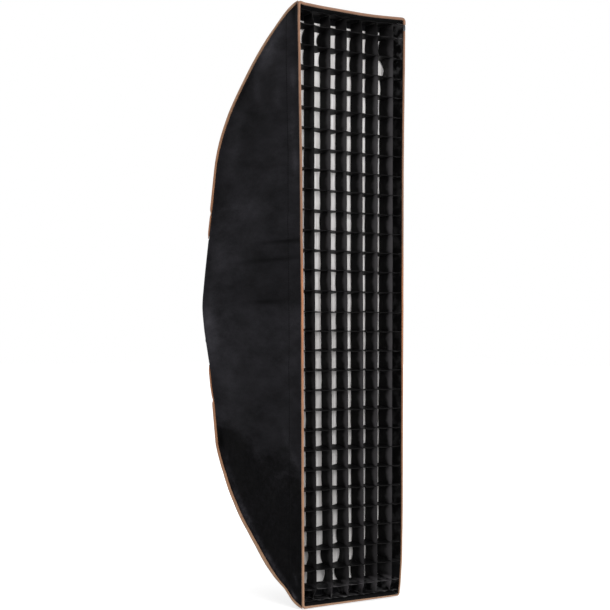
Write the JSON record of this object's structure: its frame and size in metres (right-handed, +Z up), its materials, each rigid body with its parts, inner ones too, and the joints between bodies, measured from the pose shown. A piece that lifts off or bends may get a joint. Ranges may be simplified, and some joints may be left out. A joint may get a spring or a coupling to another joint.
{
  "type": "strip softbox",
  "caption": "Tall folding strip light box with a bayonet ring, turning hub, four spring-rod arms, piped black cloth, diffusers and an egg-crate grid.",
  "frame": {"origin": "centre of the bayonet ring's rear seating face, on the axis of its bore", "axes": "+Z up along the long side of the box, +Y to the rear towards the lamp, +X to the right; the open front faces -Y"},
  "size_m": [0.307, 0.3915, 1.207],
  "materials": {
    "black_nylon": "satin woven",
    "grid_nylon": "matt woven",
    "copper_piping": "ribbed cord",
    "white_diffusion": "matt",
    "loop_band": "looped pile",
    "black_elastic": "ribbed",
    "cast_aluminium": "black powder coat",
    "bare_aluminium": "turned",
    "spring_steel": "bright drawn",
    "black_plastic": "moulded"
  },
  "bodies": {
    "bayonet": {"bayonet_ring": "bare_aluminium", "retaining_ring": "spring_steel"},
    "hub": {"hub_plate": "cast_aluminium", "pivot_pin_upper_left": "spring_steel", "pivot_pin_upper_right": "spring_steel", "pivot_pin_lower_left": "spring_steel", "pivot_pin_lower_right": "spring_steel", "release_spring_upper_left": "spring_steel", "release_spring_upper_right": "spring_steel", "release_spring_lower_left": "spring_steel", "release_spring_lower_right": "spring_steel", "side_panel_left": "black_nylon", "side_panel_right": "black_nylon", "front_band_left": "loop_band", "front_band_right": "loop_band", "rim_piping_left": "copper_piping", "rim_piping_right": "copper_piping", "egg_crate_grid": "grid_nylon", "front_diffuser": "white_diffusion", "diffuser_border": "black_nylon", "inner_baffle": "white_diffusion", "baffle_strap_upper_left": "black_elastic", "baffle_strap_upper_right": "black_elastic", "baffle_strap_lower_left": "black_elastic", "baffle_strap_lower_right": "black_elastic"},
    "knob": {"clamp_knob": "black_plastic"},
    "arm_upper_left": {"arm_socket_upper_left": "cast_aluminium", "spring_rod_upper_left": "spring_steel", "rod_cap_upper_left": "black_plastic", "corner_pocket_upper_left": "black_nylon", "seam_piping_upper_left": "copper_piping", "end_panel_upper": "black_nylon", "rear_flap_upper": "black_nylon", "rim_piping_upper": "copper_piping", "front_band_upper": "loop_band"},
    "arm_upper_right": {"arm_socket_upper_right": "cast_aluminium", "spring_rod_upper_right": "spring_steel", "rod_cap_upper_right": "black_plastic", "corner_pocket_upper_right": "black_nylon", "seam_piping_upper_right": "copper_piping"},
    "arm_lower_left": {"arm_socket_lower_left": "cast_aluminium", "spring_rod_lower_left": "spring_steel", "rod_cap_lower_left": "black_plastic", "corner_pocket_lower_left": "black_nylon", "seam_piping_lower_left": "copper_piping", "end_panel_lower": "black_nylon", "rear_flap_lower": "black_nylon", "rim_piping_lower": "copper_piping", "front_band_lower": "loop_band"},
    "arm_lower_right": {"arm_socket_lower_right": "cast_aluminium", "spring_rod_lower_right": "spring_steel", "rod_cap_lower_right": "black_plastic", "corner_pocket_lower_right": "black_nylon", "seam_piping_lower_right": "copper_piping"},
    "release_upper_left": {"release_pin_upper_left": "bare_aluminium"},
    "release_upper_right": {"release_pin_upper_right": "bare_aluminium"},
    "release_lower_left": {"release_pin_lower_left": "bare_aluminium"},
    "release_lower_right": {"release_pin_lower_right": "bare_aluminium"}
  },
  "joints": [
    {"name": "hub_turn", "type": "hinge", "parent": "bayonet", "child": "hub", "pos_m": [0, 0, 0], "axis": [0, 1, 0], "continuous": true},
    {"name": "fold_upper_left", "type": "hinge", "parent": "hub", "child": "arm_upper_left", "pos_m": [-0.058, -0.02326, 0.066], "axis": [1, 0, 0], "range_deg": [0, 54], "deforming": ["side_panel_left", "side_panel_right", "front_band_left", "front_band_right", "rim_piping_left", "rim_piping_right", "egg_crate_grid", "front_diffuser", "diffuser_border", "inner_baffle", "baffle_strap_upper_left", "baffle_strap_upper_right", "baffle_strap_lower_left", "baffle_strap_lower_right"]},
    {"name": "fold_upper_right", "type": "hinge", "parent": "hub", "child": "arm_upper_right", "pos_m": [0.058, -0.02326, 0.066], "axis": [1, 0, 0], "range_deg": [0, 54]},
    {"name": "fold_lower_left", "type": "hinge", "parent": "hub", "child": "arm_lower_left", "pos_m": [-0.058, -0.02326, -0.066], "axis": [-1, 0, 0], "range_deg": [0, 54]},
    {"name": "fold_lower_right", "type": "hinge", "parent": "hub", "child": "arm_lower_right", "pos_m": [0.058, -0.02326, -0.066], "axis": [-1, 0, 0], "range_deg": [0, 54]},
    {"name": "release_upper_left", "type": "slide", "parent": "hub", "child": "release_upper_left", "axis": [1, 0, 0], "range_m": [0, 0.005], "stiffness_N_per_m": 400, "springref_m": -0.003, "deforming": ["release_spring_upper_left"]},
    {"name": "release_upper_right", "type": "slide", "parent": "hub", "child": "release_upper_right", "axis": [-1, 0, 0], "range_m": [0, 0.005], "stiffness_N_per_m": 400, "springref_m": -0.003, "deforming": ["release_spring_upper_right"]},
    {"name": "release_lower_left", "type": "slide", "parent": "hub", "child": "release_lower_left", "axis": [1, 0, 0], "range_m": [0, 0.005], "stiffness_N_per_m": 400, "springref_m": -0.003, "deforming": ["release_spring_lower_left"]},
    {"name": "release_lower_right", "type": "slide", "parent": "hub", "child": "release_lower_right", "axis": [-1, 0, 0], "range_m": [0, 0.005], "stiffness_N_per_m": 400, "springref_m": -0.003, "deforming": ["release_spring_lower_right"]},
    {"name": "knob_turn", "type": "hinge", "parent": "hub", "child": "knob", "pos_m": [0, -0.0083, 0.08], "axis": [0, 0, 1], "continuous": true}
  ],
  "couplings": [
    {"joint": "fold_upper_right", "follows": "fold_upper_left", "ratio": 1},
    {"joint": "fold_lower_left", "follows": "fold_upper_left", "ratio": 1},
    {"joint": "fold_lower_right", "follows": "fold_upper_left", "ratio": 1}
  ]
}
